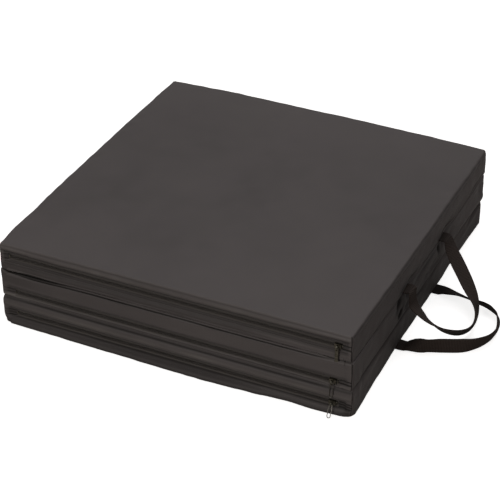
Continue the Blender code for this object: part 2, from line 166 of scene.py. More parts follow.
def coverMaterial():
    look = coverLook
    material, tree, shader = newMaterial("wovenCoverCloth", {
        "Sheen Weight": look["sheen"], "Sheen Roughness": 0.4, "Specular IOR Level": look["specular"]})
    uv, u, v = clothPlace(tree)
    place = objectPlace(tree)
    turn = 2 * math.pi * look["threadsPerMm"]
    weave = ((u * turn).sine() * (v * turn).sine()) * 0.5 + 0.5        # over and under threads
    patches = noiseOn(tree, place, look["patchScale"], 3.0, 0.6)
    fine = noiseOn(tree, place, look["grainScale"], 2.0, 0.7)
    tone = (patches * 1.5 - 0.35) * 0.62 + fine * 0.28 + weave * 0.10
    join(tree, withPaintedShading(tree, tone, look), shader, "Base Color")
    join(tree, look["roughness"] + patches * 0.10 + fine * 0.06, shader, "Roughness")
    bumpFrom(tree, shader, weave * 0.7 + fine * 0.6, look["weaveDepth"], 0.8)
    return material


def clothMaterial(name, dark, light, roughness, scale, depth):
    # plain dyed cloth whose weave is a fine noise
    material, tree, shader = newMaterial(name, {"Roughness": roughness, "Sheen Weight": 0.15})
    place = objectPlace(tree)
    fine, wide = noiseOn(tree, place, scale, 3.0, 0.7), noiseOn(tree, place, 18.0, 2.0)
    tone = (fine * 0.7 + wide * 0.5 - 0.1).clipped()
    join(tree, mixColour(tree, tone, dark, light), shader, "Base Color")
    bumpFrom(tree, shader, fine, depth)
    return material


# deep is the painted shade colour of the straps' shadowed parts; the colour after it, a painted highlight colour,
# equals light and is never reached
webLook = dict(dark=(0.008, 0.006, 0.0053), light=(0.060, 0.0465, 0.041), deep=(0.0035, 0.0026, 0.0024),
               paintedHighlight=(0.060, 0.0465, 0.041), ribMm=2.4, warpMm=2.1, ribDepth=0.00035,
               specular=0.15, roughness=0.62)


def webbingMaterial():
    look = webLook
    material, tree, shader = newMaterial("ribbedWebbing", {"Specular IOR Level": look["specular"]})
    uv, u, v = clothPlace(tree)
    across = (v * (2 * math.pi / look["ribMm"])).sine() * 0.5 + 0.5
    sway = (v * (math.pi / look["ribMm"])).sine() * 1.2
    along = (u * (2 * math.pi / look["warpMm"]) + sway).sine() * 0.5 + 0.5
    grain = noiseOn(tree, uv, 0.5, 3.0, 0.6)
    height = across * 0.65 + along * 0.35
    join(tree, withPaintedShading(tree, height * 0.75 + grain * 0.9 - 0.35, look), shader, "Base Color")
    join(tree, look["roughness"] + grain * 0.2, shader, "Roughness")
    bumpFrom(tree, shader, height + grain * 0.3, look["ribDepth"])
    return material


def metalMaterial(name, colour, worn, roughness):
    material, tree, shader = newMaterial(name, {"Metallic": 1.0})
    rub = noiseOn(tree, objectPlace(tree), 260.0, 4.0, 0.65)
    mask = ((rub - 0.45) * 3.0).clipped()
    join(tree, mixColour(tree, mask, colour, worn), shader, "Base Color")
    join(tree, roughness + rub * 0.18 - 0.05, shader, "Roughness")
    bumpFrom(tree, shader, rub, 0.00004)
    return material


def coilMaterial():
    material, tree, shader = newMaterial("coilNylon", {})
    fine = noiseOn(tree, objectPlace(tree), 500.0, 2.0)
    join(tree, mixColour(tree, fine, (0.026, 0.023, 0.0212), (0.056, 0.050, 0.046)), shader, "Base Color")
    join(tree, 0.36 + fine * 0.15, shader, "Roughness")
    return material


coverCloth = coverMaterial()
tapeCloth = clothMaterial("zipTapeCloth", (0.032, 0.0285, 0.026), (0.066, 0.059, 0.055), 0.82, 900.0, 0.00008)
webbing = webbingMaterial()
threadLook = clothMaterial("sewingThread", (0.030, 0.027, 0.026), (0.075, 0.070, 0.068), 0.6, 1500.0, 0.00003)
darkMetal = metalMaterial("darkPlatedMetal", (0.10, 0.095, 0.075), (0.22, 0.20, 0.16), 0.38)
brightMetal = metalMaterial("brightPlatedMetal", (0.11, 0.105, 0.092), (0.24, 0.23, 0.21), 0.42)
coilLook = coilMaterial()
print("materials made")


def linked(name, data):
    thing = bpy.data.objects.new(name, data)
    scene.collection.objects.link(thing)
    return thing


def aim(thing, place, way):
    thing.location = place
    thing.rotation_mode = "QUATERNION"
    thing.rotation_quaternion = way.to_track_quat("-Z", "Y")


def makePiece(name, verts, faces, material, uv=None):
    mesh = bpy.data.meshes.new(name)
    mesh.from_pydata([tuple(v) for v in verts], [], [tuple(int(i) for i in f) for f in faces])
    mesh.validate()
    mesh.update()
    mesh.polygons.foreach_set("use_smooth", [True] * len(mesh.polygons))
    piece = linked(name, mesh)
    mesh.materials.append(material)
    if uv is not None:
        layer = mesh.uv_layers.new(name="clothUV")
        loops = np.zeros(len(mesh.loops), dtype=np.int64)
        mesh.loops.foreach_get("vertex_index", loops)
        layer.data.foreach_set("uv", np.asarray(uv, float)[loops].ravel())
    return piece


def applied(piece):
    # the piece's modifiers, made part of its mesh
    graph = bpy.context.evaluated_depsgraph_get()
    mesh = bpy.data.meshes.new_from_object(piece.evaluated_get(graph))
    piece.modifiers.clear()
    old = piece.data
    piece.data = mesh
    bpy.data.meshes.remove(old)


def thicken(piece, thickness):
    thick = piece.modifiers.new("thickness", "SOLIDIFY")
    thick.thickness, thick.offset = thickness, 0.0
    applied(piece)


def smoothStep(x, low, high):
    t = np.clip((x - low) / (high - low), 0, 1)
    return t * t * (3 - 2 * t)


def fall(x, low, high):
    return 1 - smoothStep(x, low, high)


def bell(x, centre, width):
    return np.exp(-((x - centre) / width) ** 2)


def softNoise(u, v, seed, cell):
    # smooth value noise in -1..1 with cells of the given size
    rng = np.random.RandomState(seed)
    grid = rng.uniform(-1, 1, (64, 64))
    a, b = u / cell + 1000.0, v / cell + 1000.0
    i, j = np.floor(a).astype(int), np.floor(b).astype(int)
    fa, fb = a - i, b - j
    fa, fb = fa * fa * (3 - 2 * fa), fb * fb * (3 - 2 * fb)

    def knot(p, q):
        return grid[p % 64, q % 64]

    return ((knot(i, j) * (1 - fa) + knot(i + 1, j) * fa) * (1 - fb)
            + (knot(i, j + 1) * (1 - fa) + knot(i + 1, j + 1) * fa) * fb)


pads = dict(cornerHalf=0.295, planRadius=0.0055, cells=240, crown=0.0025, cornerDrop=0.004,
            wander=0.0007, bandHalf=0.0064, bandFloor=-0.2928, valleyFace=-0.2965,
            lip=0.0006, rowGap=0.0015, fineGap=0.0006, ribPitch=0.0042, bandEnd=0.2915,
            seeds={"bottom": 3, "middle": 17, "top": 29}, footSeed=91, liftSeed=77)
# dark is the span of the darker band round each zip and tone how dark it is, partly painted shade; slit holds the
# heights of the painted-shade slits beyond the zip
panels = {
    "bottom": dict(low=0.0, high=0.04985, lowRound=(0.0024, 2.0), highRound=(0.010, 2.0), zip=0.0195,
                   body="panel_bottom", slit=(0.0046, 0.0, -0.0044), dark=(0.0120, 0.0290), tone=0.50,
                   ends=(0.2790, 0.2785)),
    "middle": dict(low=0.05015, high=0.09985, lowRound=(0.005, 4.0), highRound=(0.005, 2.0), zip=0.0595,
                   body="panel_middle", slit=(0.0052, -0.0004), dark=(0.0560, 0.0722), tone=0.46,
                   ends=(0.2790, 0.2785)),
    "top": dict(low=0.10015, high=0.14985, lowRound=(0.005, 2.0), highRound=(0.0085, 2.3), zip=0.1255,
                body="panel_top", slit=(0.0030, -0.0040), dark=(0.1130, 0.1356), tone=0.62,
                ends=(0.2845, 0.2800)),
}
# how far each side stands beyond the corner half: near or left end, middle, far or right end
sideOuts = {
    "top": dict(left=(0.0042, 0.0016, -0.0004), right=(0.0008, 0.0040, 0.0028),
                front=(0.0022, 0.0050, 0.0012)),
    "middle": dict(left=(0.0056, 0.0026, 0.0004), right=(0.0030, 0.0036, 0.0028),
                   front=(0.0022, 0.0050, 0.0020)),
    "bottom": dict(left=(0.0052, 0.0026, 0.0004), right=(0.0058, -0.0004, 0.0012),
                   front=(0.0034, 0.0052, 0.0040)),
}
for outs in sideOuts.values():
    outs["back"] = (0.0006, 0.0012, 0.0010)
arcTurns = np.tan(np.radians(np.linspace(5.0, 45.0, 9)))
edgeTurns = np.tan(np.radians(np.linspace(7.5, 45.0, 6)))


def sideOut(ends, along):
    t = np.clip(along / pads["cornerHalf"], -1, 1)
    return ends[1] + (ends[2] - ends[0]) / 2 * t + ((ends[0] + ends[2]) / 2 - ends[1]) * t ** 4


def gridLines(half, radius, cells):
    core = half - radius
    outer = core + radius * arcTurns
    return np.concatenate([-outer[::-1], np.linspace(-core, core, cells + 1), outer])


def rowLines(low, high, fineAt):
    # heights up a side, closer together beside the zip band's edges
    fine = np.linspace(low, high, 600)
    density = 1 / pads["rowGap"] + sum((1 / pads["fineGap"] - 1 / pads["rowGap"]) * bell(fine, at, 0.0016)
                                       for at in fineAt)
    total = np.concatenate([[0], np.cumsum((density[1:] + density[:-1]) / 2 * np.diff(fine))])
    return np.interp(np.linspace(0, total[-1], int(round(total[-1])) + 1), total, fine)


def boxLattice(xs, ys, zs):
    # a box's surface on three sets of lines; the caps use every second line
    nx, ny, nz = len(xs) - 1, len(ys) - 1, len(zs) - 1
    index, verts, faces = {}, [], []

    def vert(i, j, k):
        key = (i, j, k)
        if key not in index:
            index[key] = len(verts)
            verts.append((xs[i], ys[j], zs[k]))
        return index[key]

    def face(corners, flip):
        ring = [vert(*corner) for corner in corners]
        faces.append(ring[::-1] if flip else ring)

    for k, flip in ((0, True), (nz, False)):
        for i in range(0, nx, 2):
            for j in range(0, ny, 2):
                loop = [(i, j), (i + 1, j)] if j == 0 else [(i, j)]
                loop += [(i + 2, j), (i + 2, j + 1)] if i + 2 == nx else [(i + 2, j)]
                loop += [(i + 2, j + 2), (i + 1, j + 2)] if j + 2 == ny else [(i + 2, j + 2)]
                loop += [(i, j + 2), (i, j + 1)] if i == 0 else [(i, j + 2)]
                face([(a, b, k) for a, b in loop], flip)
    for j, flip in ((0, False), (ny, True)):
        for i in range(nx):
            for k in range(nz):
                face([(i, j, k), (i + 1, j, k), (i + 1, j, k + 1), (i, j, k + 1)], flip)
    for i, flip in ((0, True), (nx, False)):
        for j in range(ny):
            for k in range(nz):
                face([(i, j, k), (i, j + 1, k), (i, j + 1, k + 1), (i, j, k + 1)], flip)
    return np.array(verts), faces, index


def panelShape(key):
    spec = panels[key]
    half, radius = pads["cornerHalf"], pads["planRadius"]
    tall, middle = (spec["high"] - spec["low"]) / 2, (spec["high"] + spec["low"]) / 2
    lowR, highR = spec["lowRound"][0], spec["highRound"][0]
    flat = gridLines(half, radius, pads["cells"])
    zipAt, band = spec["zip"] - middle, pads["bandHalf"]
    rise = np.concatenate([-(tall - lowR) - lowR * edgeTurns[::-1],
                           rowLines(-(tall - lowR), tall - highR, (zipAt - band - 0.0008, zipAt + band + 0.0008)),
                           tall - highR + highR * edgeTurns])
    verts, faces, index = boxLattice(flat, flat, rise)
    x, y, z = verts.T.copy()
    core = half - radius
    up = z > 0
    zCore = np.where(up, tall - highR, -(tall - lowR))
    zRound = np.where(up, highR, lowR)
    power = np.where(up, spec["highRound"][1], spec["lowRound"][1])
    over = np.where(np.abs(z) > np.abs(zCore), (z - zCore) / zRound, 0.0)
    over = np.where(np.sign(over) == np.sign(zCore), over, 0.0)
    qx, qy = np.clip(x, -core, core), np.clip(y, -core, core)
    dx, dy = (x - qx) / radius, (y - qy) / radius
    flatLen = np.hypot(dx, dy)
    length = (flatLen ** power + np.abs(over) ** power) ** (1 / power)
    length = np.where(length < 1e-9, 1.0, length)
    dx, dy, dz = dx / length, dy / length, over / length
    px, py = qx + radius * dx, qy + radius * dy
    pz = np.where(over != 0, zCore + zRound * dz, z)
    normal = np.stack([dx / radius, dy / radius, dz / zRound], 1)
    normal /= np.maximum(np.linalg.norm(normal, axis=1), 1e-9)[:, None]
    sx, sy = px / half, py / half
    up01 = (pz + tall) / (2 * tall)
    outs = sideOuts[key]
    outX = px + sx * np.where(sx > 0, sideOut(outs["right"], py), sideOut(outs["left"], py))
    outY = py + sy * np.where(sy > 0, sideOut(outs["back"], px), sideOut(outs["front"], px))
    outZ = pz + middle
    if key == "top":
        outZ = outZ + up01 * (pads["crown"] * (1 - sx * sx) * (1 - sy * sy)
                              - pads["cornerDrop"] * (sx * sy) ** 4)
    return np.stack([outX, outY, outZ], 1), normal, faces, index


def dent(along, z, centre, size, turn=0.0):
    # an oval patch of 0..1 on a side; turn tilts its long axis
    a, b = along - centre[0], z - centre[1]
    c, s = math.cos(turn), math.sin(turn)
    return np.exp(-((a * c + b * s) / size[0]) ** 2 - ((b * c - a * s) / size[1]) ** 2)


# folds on the right side in millimetres: along, height, length, width, tilt in radians, how far out
rightFolds = {
    "top": [(40, 125, 110, 10, 0.02, 0.7), (-180, 120, 60, 8, -0.06, 0.6), (100, 104.5, 20, 6, 0, -4),
            (-61, 104.5, 20, 6, 0, -3.5), (235, 105, 50, 4, 0.1, -1.6), (20, 112, 60, 6, 0.03, 0.8),
            (270, 120, 20, 10, 0.5, 1)],
    "middle": [(-113, 90, 9, 6, 0.9, -5), (-104, 66.5, 8, 4, 0.5, -4.2), (66, 85, 5, 9, 0.5, -5),
               (225, 63, 70, 5.5, -0.06, 2.4), (90, 88, 12, 9, 0.5, -4.5), (112, 70, 10, 14, -0.4, -2.8),
               (-70, 82, 10, 14, 0.4, -4), (-75, 61, 16, 6, 0.3, -2.6), (215, 95, 40, 3, -0.18, 1.4),
               (150, 82, 30, 4, -0.35, 1), (20, 76, 40, 6, 0.12, 1.2), (45, 64, 30, 5, -0.15, -1.4),
               (-15, 87, 35, 4, 0.1, -1.2), (268, 80, 10, 16, 0.3, -1.4), (-272, 60, 4, 22, 0.1, 0.8),
               (-258, 58, 4, 20, -0.1, -0.7)],
    "bottom": [(262, 40, 40, 4.5, 0.18, -2.6), (225, 29, 45, 6, 0.1, 1.2), (60, 44, 25, 4, 0.1, -1.6),
               (-10, 45, 25, 4, -0.1, -1.4), (-272, 43, 4, 18, 0.1, 0.8), (-258, 44, 4, 16, -0.1, -0.6),
               (-200, 40, 60, 5, 0, 0.8), (120, 35, 50, 6, -0.05, 1)]}
# painted shade in the hollows and tucks beside the upper handle's ends, the same way; the last number is how dark
rightPaintedShade = {
    "top": [(92, 105.5, 14, 4, 0.3, 0.9), (-100, 106, 14, 4, 0.2, 0.7)],
    "middle": [(68, 85, 6, 10, 0.5, 1), (-112, 93, 8, 8, 0.3, 0.9), (-104, 66, 9, 6, 0.5, 0.8),
               (-120, 79, 6, 10, 0.6, 0.5), (14, 66, 6, 4, 0, 0.7), (40, 90, 30, 4, 0.1, 0.5)],
    "bottom": []}
# level lines along the front in millimetres: height, half width, how far out, and the painted highlight there,
# painted shade where it is below 0
frontLines = {
    "top": [(139.5, 2, 0.8, 0), (136.2, 1, -0.6, 0), (141.2, 2.8, 0, 0.55), (136.2, 0.9, 0, -0.8)],
    "middle": [(52.1, 1.2, 0.7, 0), (53.2, 1.8, 0, 0.85)],
    "bottom": [(34.5, 3.2, 1, 0), (29.7, 1.6, -0.9, 0), (36.2, 3.2, 0, 0.8), (46.2, 2, 0, -0.75)]}
# the gap below the top panel at the left front corner, where the middle one is pressed down
wedge = dict(start=-0.299, full=-0.288, easeFrom=-0.255, end=-0.130, sink=0.0038, follow=0.0026, fade=0.020,
             reach=0.040)


def wedgeAt(x):
    return smoothStep(x, wedge["start"], wedge["full"]) * fall(x, wedge["easeFrom"], wedge["end"])


def patches(rows, along, z):
    # each row's patch on the right side, with the row's last number
    for *sizes, tilt, last in rows:
        at, tall, longWay, wide = (size / 1000 for size in sizes)
        yield dent(along, z, (at, tall), (longWay, wide), tilt), last


def dressPanel(key):
    # the cover's surface: zip recess and lips, seams, puckers, folds and slow wandering, and the painted light and
    # shade on it
    spec = panels[key]
    p, n, faces, index = panelShape(key)
    x, y, z = p.T.copy()
    seed, still = pads["seeds"][key], 0 * z

    def noise(u, v, step, cell):
        return softNoise(u, v, seed + step, cell)

    flatN = np.hypot(n[:, 0], n[:, 1])
    lean = np.degrees(np.arctan2(n[:, 2], np.maximum(flatN, 1e-9)))    # 0 on a side, 90 on top
    plan = np.degrees(np.arctan2(np.abs(n[:, 1]), np.abs(n[:, 0])))    # 0 left and right, 90 front and back
    side = smoothStep(flatN, 0.35, 0.8)
    front = np.where(n[:, 1] < 0, smoothStep(plan, 55, 80), 0) * side
    right = np.where(n[:, 0] > 0, fall(plan, 10, 35), 0) * side
    top = smoothStep(n[:, 2], 0.5, 0.95)
    onX = plan > 45
    along = np.where(onX, x, y)
    turn = np.where(onX, 0.0, 5.0) + 2.0 * np.sign(np.where(onX, n[:, 1], n[:, 0]))
    push, shade = np.zeros(len(p)), np.zeros(len(p))
    # joins between panels lie deeper towards the middle of each side
    open01 = fall(np.abs(along), 0.235, 0.284)
    for at, deep, reach in ((0.05, 0.0045, 0.0085), (0.10, 0.0040, 0.0080)):
        ease = 1 - right * (0.75 if at > 0.09 else 0.35) * (0.75 + 0.25 * np.cos(y * 21))
        push -= side * open01 * deep * ease * np.clip(1 - np.abs(z - at) / (reach * ease), 0, 1) ** 1.6
    # slow wandering of the cloth over the foam
    push += side * pads["wander"] * noise(along + turn, z * 2.5, 0, 0.055)
    push += side * 0.0004 * noise(along + turn, z * 1.6, 1, 0.018)
    flatUp = smoothStep(np.abs(n[:, 2]), 0.5, 0.95)
    push += flatUp * 0.0005 * noise(x, y, 2, 0.11)
    if key == "top":
        push += top * 0.0002 * noise(x, y, 3, 0.035)
        edgeNear = np.minimum(0.29 - np.abs(x), 0.29 - np.abs(y))
        push += top * 0.0006 * bell(edgeNear, 0.004, 0.006) * noise(along + turn, still, 4, 0.016)
    # seam round the outer edge, with its puckers, a painted highlight on its ridge and painted shade in its groove
    for at, sign in ((46, 1), (-46, -1)):
        if (key == "top" and sign > 0) or (key == "bottom" and sign < 0):
            ridge, groove = bell(lean, at, 13), bell(lean, at - sign * 24, 8)
            ripple = noise(along + turn, still, 6, 0.011)
            push += 0.00055 * ridge - 0.0005 * groove
            push += 0.00035 * ripple * bell(lean, at - sign * 20, 22)
            shade += 0.30 * ridge - 0.35 * groove
    uneven = 0.75 + 0.5 * noise(x, still + seed, 21, 0.045)
    for at, width, out, tone in frontLines[key]:
        line = front * bell(z, at / 1000, width / 1000)
        push += out / 1000 * line
        shade += tone * line * (uneven if tone > 0 else 1)
    if key == "top":
        # darker on the lower front away from the right end; on top, painted light towards the front and back edges
        # and tone that varies at random
        shade -= 0.34 * front * fall(x, 0.10, 0.22) * fall(z, 0.112, 0.115)
        shade += top * (0.10 * smoothStep(np.abs(y), 0.15, 0.29) + 0.10 * noise(x, y, 22, 0.10)
                        + 0.05 * noise(x, y, 23, 0.025))
    # upright seams at the corners, with painted shade in the seam and a painted highlight beside it
    corner = side * fall(np.abs(z - (spec["low"] + spec["high"]) / 2), 0.021, 0.026)
    push += corner * (0.0007 * bell(plan, 66, 12) + 0.0003 * bell(plan, 22, 12) - 0.0013 * bell(plan, 45, 6.5))
    broken = 0.75 + 0.6 * noise(z, turn, 12, 0.013)
    shade -= corner * 1.1 * broken * bell(plan, 47, 8.0)
    shade += corner * 0.35 * bell(plan, 68, 12)
    cornerRipple = noise(z, turn, 8, 0.0075)
    push += corner * 0.0003 * cornerRipple * bell(plan, 62, 26)
    # zip band on the front, and the slits that run on from it to the corner
    zipZ, half = spec["zip"], pads["bandHalf"]
    leftEnd, rightEnd = spec["ends"]
    within = smoothStep(x + leftEnd, 0.0, 0.005) * smoothStep(rightEnd - x, 0.0, 0.0025)
    beyond = smoothStep(x, rightEnd - 0.002, rightEnd) + 0.3 * smoothStep(-x, leftEnd - 0.003, leftEnd)
    beyond *= smoothStep(plan, 48, 60)
    lipShape = bell(z, zipZ + half + 0.0013, 0.0011) + bell(z, zipZ - half - 0.0013, 0.0011)
    stitchLine = bell(z, zipZ + half + 0.0036, 0.0006) + bell(z, zipZ - half - 0.0036, 0.0006)
    push += front * within * (pads["lip"] * lipShape - 0.0003 * stitchLine)
    pucker = noise(x, still + seed, 5, 0.0085) * 0.0003
    push += front * within * pucker * (bell(z, zipZ + half + 0.004, 0.004) + bell(z, zipZ - half - 0.004, 0.004))
    wander = 0.0005 * noise(x, still, 9, 0.05)
    # a shallow valley on both sides of the zip band
    rise = z - zipZ
    valley = np.where(rise > 0, fall(rise, half, half + 0.0065),
                      fall(-rise, half, half + min(0.0095, zipZ - half - spec["low"])))
    inBand = pads["bandEnd"] - np.abs(x)
    valley *= front * smoothStep(inBand, 0.0, 0.005)
    push -= np.clip(pads["valleyFace"] - y, 0, 1) * valley
    # a darker ribbed band round the zip, partly painted shade in the valley and partly darker hem cloth
    low, high = spec["dark"]
    ribs = np.cos(rise * 2 * math.pi / pads["ribPitch"])
    dark = smoothStep(z, low - 0.001, low + 0.001) * fall(z, high - 0.001, high + 0.001)
    shade -= spec["tone"] * dark * (0.72 + 0.28 * ribs) * front * smoothStep(inBand, 0.0, 0.003)
    push += 0.00025 * ribs * dark * front
    # a painted highlight along the lip just below the dark band
    shade += 0.35 * front * bell(z, low - 0.0022, 0.0014) * (1 if key == "middle" else smoothStep(x, 0.10, 0.22))
    # painted shade in the slits from the zip's ends to the corner
    for step in spec["slit"]:
        slit = bell(z, zipZ + step + wander, 0.0013) * beyond
        push -= 0.0020 * slit
        shade -= 1.8 * slit
    if key == "bottom":                                  # the foot of the wall, and the roll above the zip
        foot = 0.0040 + 0.0034 * bell(x, 0.0, 0.13) - 0.0032 * smoothStep(x, 0.12, 0.20)
        push += front * foot * fall(z, 0.006, 0.0135)
        push += front * 0.0006 * bell(z, 0.0375, 0.004) * softNoise(x, still, pads["footSeed"], 0.03)
        shade -= front * 0.40 * fall(z, 0.012, 0.016)
    if key == "middle":                                  # the wall above the zip, and the edge below it
        # lighter near the middle and darker at the left end of the wall; painted shade in the edge below near the
        # right corner, and a painted shadow line along the top of the zip band
        wall = 0.14 * bell(x, 0.09, 0.12) - 0.25 * fall(x, -0.27, -0.17)
        shade += front * wall * smoothStep(z, 0.073, 0.078)
        shade -= 1.2 * front * smoothStep(x, 0.258, 0.266) * bell(z, 0.0510, 0.0016)
        push -= front * within * 0.0005 * bell(z, 0.0672, 0.0007)
        shade -= front * within * 0.6 * bell(z, 0.0668, 0.0006)
    # folds on the right side, with painted shade in the sunken ones and a painted highlight on the raised ones
    for patch, out in patches(rightFolds[key], y, z):
        push += out / 1000 * patch * right
        shade += np.clip(out * 0.14, -0.45, 0.22) * patch * right
    # painted shade over the whole right side, deepest under the handle where the straps' shadow falls, and painted
    # light towards its far end
    shade -= right * (0.42 * bell(y, -0.01, 0.13) * fall(z, 0.095, 0.130) + 0.14)
    shade += 0.16 * right * smoothStep(y, 0.13, 0.24) * smoothStep(z, 0.045, 0.06)
    # painted shade in the hollows beside the handle's ends
    for patch, much in patches(rightPaintedShade[key], y, z):
        shade -= 1.6 * much * patch * right
    # painted shade along the joins on the front
    for join in (0.05, 0.10):
        shade -= 0.9 * front * bell(z, join, 0.0011)
    p = p + n * push[:, None]
    # tighter edges on the right side, so that the joins there close to lines
    xFace = pads["cornerHalf"] + sideOut(sideOuts[key]["right"], y)
    fill = 0.86 + 0.13 * fall(y, -0.27, -0.16) - 0.3 * smoothStep(y, 0.24, 0.285)
    pocket = 1 - np.clip(bell(y, 0.1003, 0.020) + bell(y, -0.061, 0.020), 0, 1)
    edgeZ = {"top": (z < 0.12), "middle": (z > 0.08), "bottom": (z < -1)}[key]
    isRight = (n[:, 0] > 0.12) & (plan < 44)
    p[:, 0] += np.where(isRight & edgeZ, (xFace - x) * fill * pocket * smoothStep(n[:, 0], 0.12, 0.5), 0)
    if key == "top":
        lift = 0.0009 * softNoise(x, still, pads["liftSeed"], 0.06) * smoothStep(x, -0.2, -0.1)
        p[:, 2] += lift * fall(y, -0.300, -0.27) * fall(z, 0.1, 0.115) * (lean > -70)
    band = front * within * smoothStep(half - np.abs(z - zipZ), -0.0004, 0.0008)
    p[:, 1] = np.where(n[:, 1] < -0.3, p[:, 1] * (1 - band) + pads["bandFloor"] * band, p[:, 1])
    # painted shade on the recessed floor of the zip band
    shade -= band * 0.2
    if key == "bottom":                                  # the lower corners are worn round
        for sx, sy, size in ((1, -1, 0.020), (-1, -1, 0.014), (1, 1, 0.012), (-1, 1, 0.012)):
            cx, cy = sx * 0.301, sy * 0.2995
            ax, ay = (p[:, 0] - cx) * sx + size, (p[:, 1] - cy) * sy + size
            far = np.hypot(np.maximum(ax, 0), np.maximum(ay, 0))
            inside = (ax > 0) & (ay > 0) & (far > size)
            much = np.where(inside, fall(z, 0.003, size), 0)
            scale = 1 - much * (1 - size / np.maximum(far, 1e-6))
            p[:, 0] = np.where(inside, cx - sx * size + sx * ax * scale, p[:, 0])
            p[:, 1] = np.where(inside, cy - sy * size + sy * ay * scale, p[:, 1])
    low, high = spec["low"], spec["high"]
    p[:, 2] = np.clip(p[:, 2], low if key == "bottom" else low - 0.0001, None)
    press = wedgeAt(x) * fall(y, -0.296, -0.296 + wedge["reach"])
    nearJoin = fall(np.abs(z - 0.1), 0.0005, 0.0015)
    # painted shade in the gap between the top and middle panels at the left front corner
    shade -= 1.5 * wedgeAt(x) * nearJoin * (y < -0.26)
    if key == "top":
        # painted shade on the top panel just above the join, where the gap runs out
        shade -= 0.55 * front * bell(x, -0.17, 0.045) * fall(z, low, low + 0.005)
        p[:, 2] -= wedge["follow"] * press * fall(z, low, low + wedge["fade"])
    if key == "middle":
        p[:, 2] -= wedge["sink"] * press * smoothStep(z, high - wedge["fade"], high)
    return p, n, faces, index, np.clip(shade, -1, 1)


def panelUV(p, n):
    a = np.abs(n)
    flat = (a[:, 2] >= a[:, 0]) & (a[:, 2] >= a[:, 1])
    u = np.where(flat | (a[:, 1] >= a[:, 0]), p[:, 0], p[:, 1])
    return np.stack([u, np.where(flat, p[:, 1], p[:, 2])], 1) * 1000


def addPaintedShading(piece, values):
    layer = piece.data.attributes.new("foldShade", "FLOAT", "POINT")
    layer.data.foreach_set("value", np.asarray(values, np.float32))


def hitTree(piece):
    mesh = piece.data
    return BVHTree.FromPolygons([v.co.copy() for v in mesh.vertices], [tuple(f.vertices) for f in mesh.polygons])


dressed, trees = {}, {}
for key, spec in panels.items():
    points, normals, quads, index, shade = dressPanel(key)
    cover = makePiece("padCover_" + key, points, quads, coverCloth, uv=panelUV(points, normals))
    addPaintedShading(cover, shade)
    hidden = [part + key for part in ("cover_", "foam_", "zip_hem_upper_", "zip_hem_lower_")]
    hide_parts(*hidden)
    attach(cover, spec["body"])
    dressed[key], trees[key] = (points, normals, index), hitTree(cover)
print("padded panels made")

# strips of cloth that join the panels along the folds
folds = {
    "upper": dict(below="middle", above="top", face=-1, join=0.1, bodies=("panel_middle", "panel_top")),
    "lower": dict(below="bottom", above="middle", face=1, join=0.05, bodies=("panel_bottom", "panel_middle")),
}
foldStrip = dict(half=0.284, reach=0.0075, thickness=0.0005, off=0.0002, tuck=0.0003, gap=0.0009, crevice=0.0015,
                 wedge=0.008, bend=0.0065)


def foldRows(key, spec):
    # the cover's own rows from its side face into the crevice
    points, normals, index = dressed[key]
    counts = np.array(list(index)).max(axis=0)
    j = 0 if spec["face"] < 0 else counts[1]
    lines = gridLines(pads["cornerHalf"], pads["planRadius"], pads["cells"])
    columns = [i for i, at in enumerate(lines) if abs(at) <= foldStrip["half"]]
    rows = []
    for k in range(counts[2] + 1):
        ids = [index[(i, j, k)] for i in columns]
        gap = abs(points[ids[len(ids) // 2]][2] - spec["join"])
        if foldStrip["gap"] < gap < foldStrip["reach"]:
            edge = smoothStep(foldStrip["reach"] - gap, 0.0, 0.0025)
            off = foldStrip["off"] * edge - foldStrip["tuck"] * (1 - edge)
            rows.append((gap, points[ids] + normals[ids] * off))
    rows.sort(key=lambda row: -row[0])
    return [row[1] for row in rows]


for word, spec in folds.items():
    lowRows, highRows = foldRows(spec["below"], spec), foldRows(spec["above"], spec)
    middle = (lowRows[-1] + highRows[-1]) / 2
    opened = foldStrip["wedge"] * wedgeAt(middle[:, 0]) if word == "upper" else 0
    middle[:, 1] -= spec["face"] * (foldStrip["crevice"] + opened)
    rows = lowRows + [middle] + highRows[::-1]
    wide = len(rows[0])
    verts = np.concatenate(rows)
    order = 1 if spec["face"] < 0 else -1
    quads = [[r * wide + c, r * wide + c + 1, (r + 1) * wide + c + 1, (r + 1) * wide + c][::order]
             for r in range(len(rows) - 1) for c in range(wide - 1)]
    across = np.cumsum([0] + [float(np.linalg.norm(b - a, axis=1).mean()) for a, b in zip(rows, rows[1:])])
    uv = np.stack([verts[:, 0] * 1000, np.repeat(across, wide) * 1000], 1)
    strip = makePiece("foldStrip_" + word, verts, quads, coverCloth, uv=uv)
    outs = sideOuts[spec["above"]]["front" if spec["face"] < 0 else "back"]
    # painted shade deeper in the crevice, and full painted shade in the opened gap at the left front corner
    depth = pads["cornerHalf"] + sideOut(outs, verts[:, 0]) - np.abs(verts[:, 1])
    near = smoothStep(depth, 0.0008, 0.0024)
    if word == "upper":
        crevice = np.repeat([abs(r - len(lowRows)) <= 1 for r in range(len(rows))], wide)
        near += 2 * wedgeAt(verts[:, 0]) * crevice
    addPaintedShading(strip, -np.clip(near, 0, 1))
    thicken(strip, foldStrip["thickness"])
    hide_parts("hinge_strip_" + word)
    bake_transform(strip)
print("fold strips made")

zips = dict(tapeHalf=0.0069, tapeFront=-0.2935, tapeThick=0.0008, coilY=-0.2957, pitch=0.0016, rowOff=0.00095,
            loopTall=0.00135, loopDeep=0.00035, wire=0.00034, slant=0.20, clear=0.0003,
            core=(-0.2953, -0.2945, -0.2938), coreHalf=0.0012, tapeGrid=(200, 37), seed=55)
zipEnds = {"bottom": 0.273, "middle": 0.273, "top": 0.279}


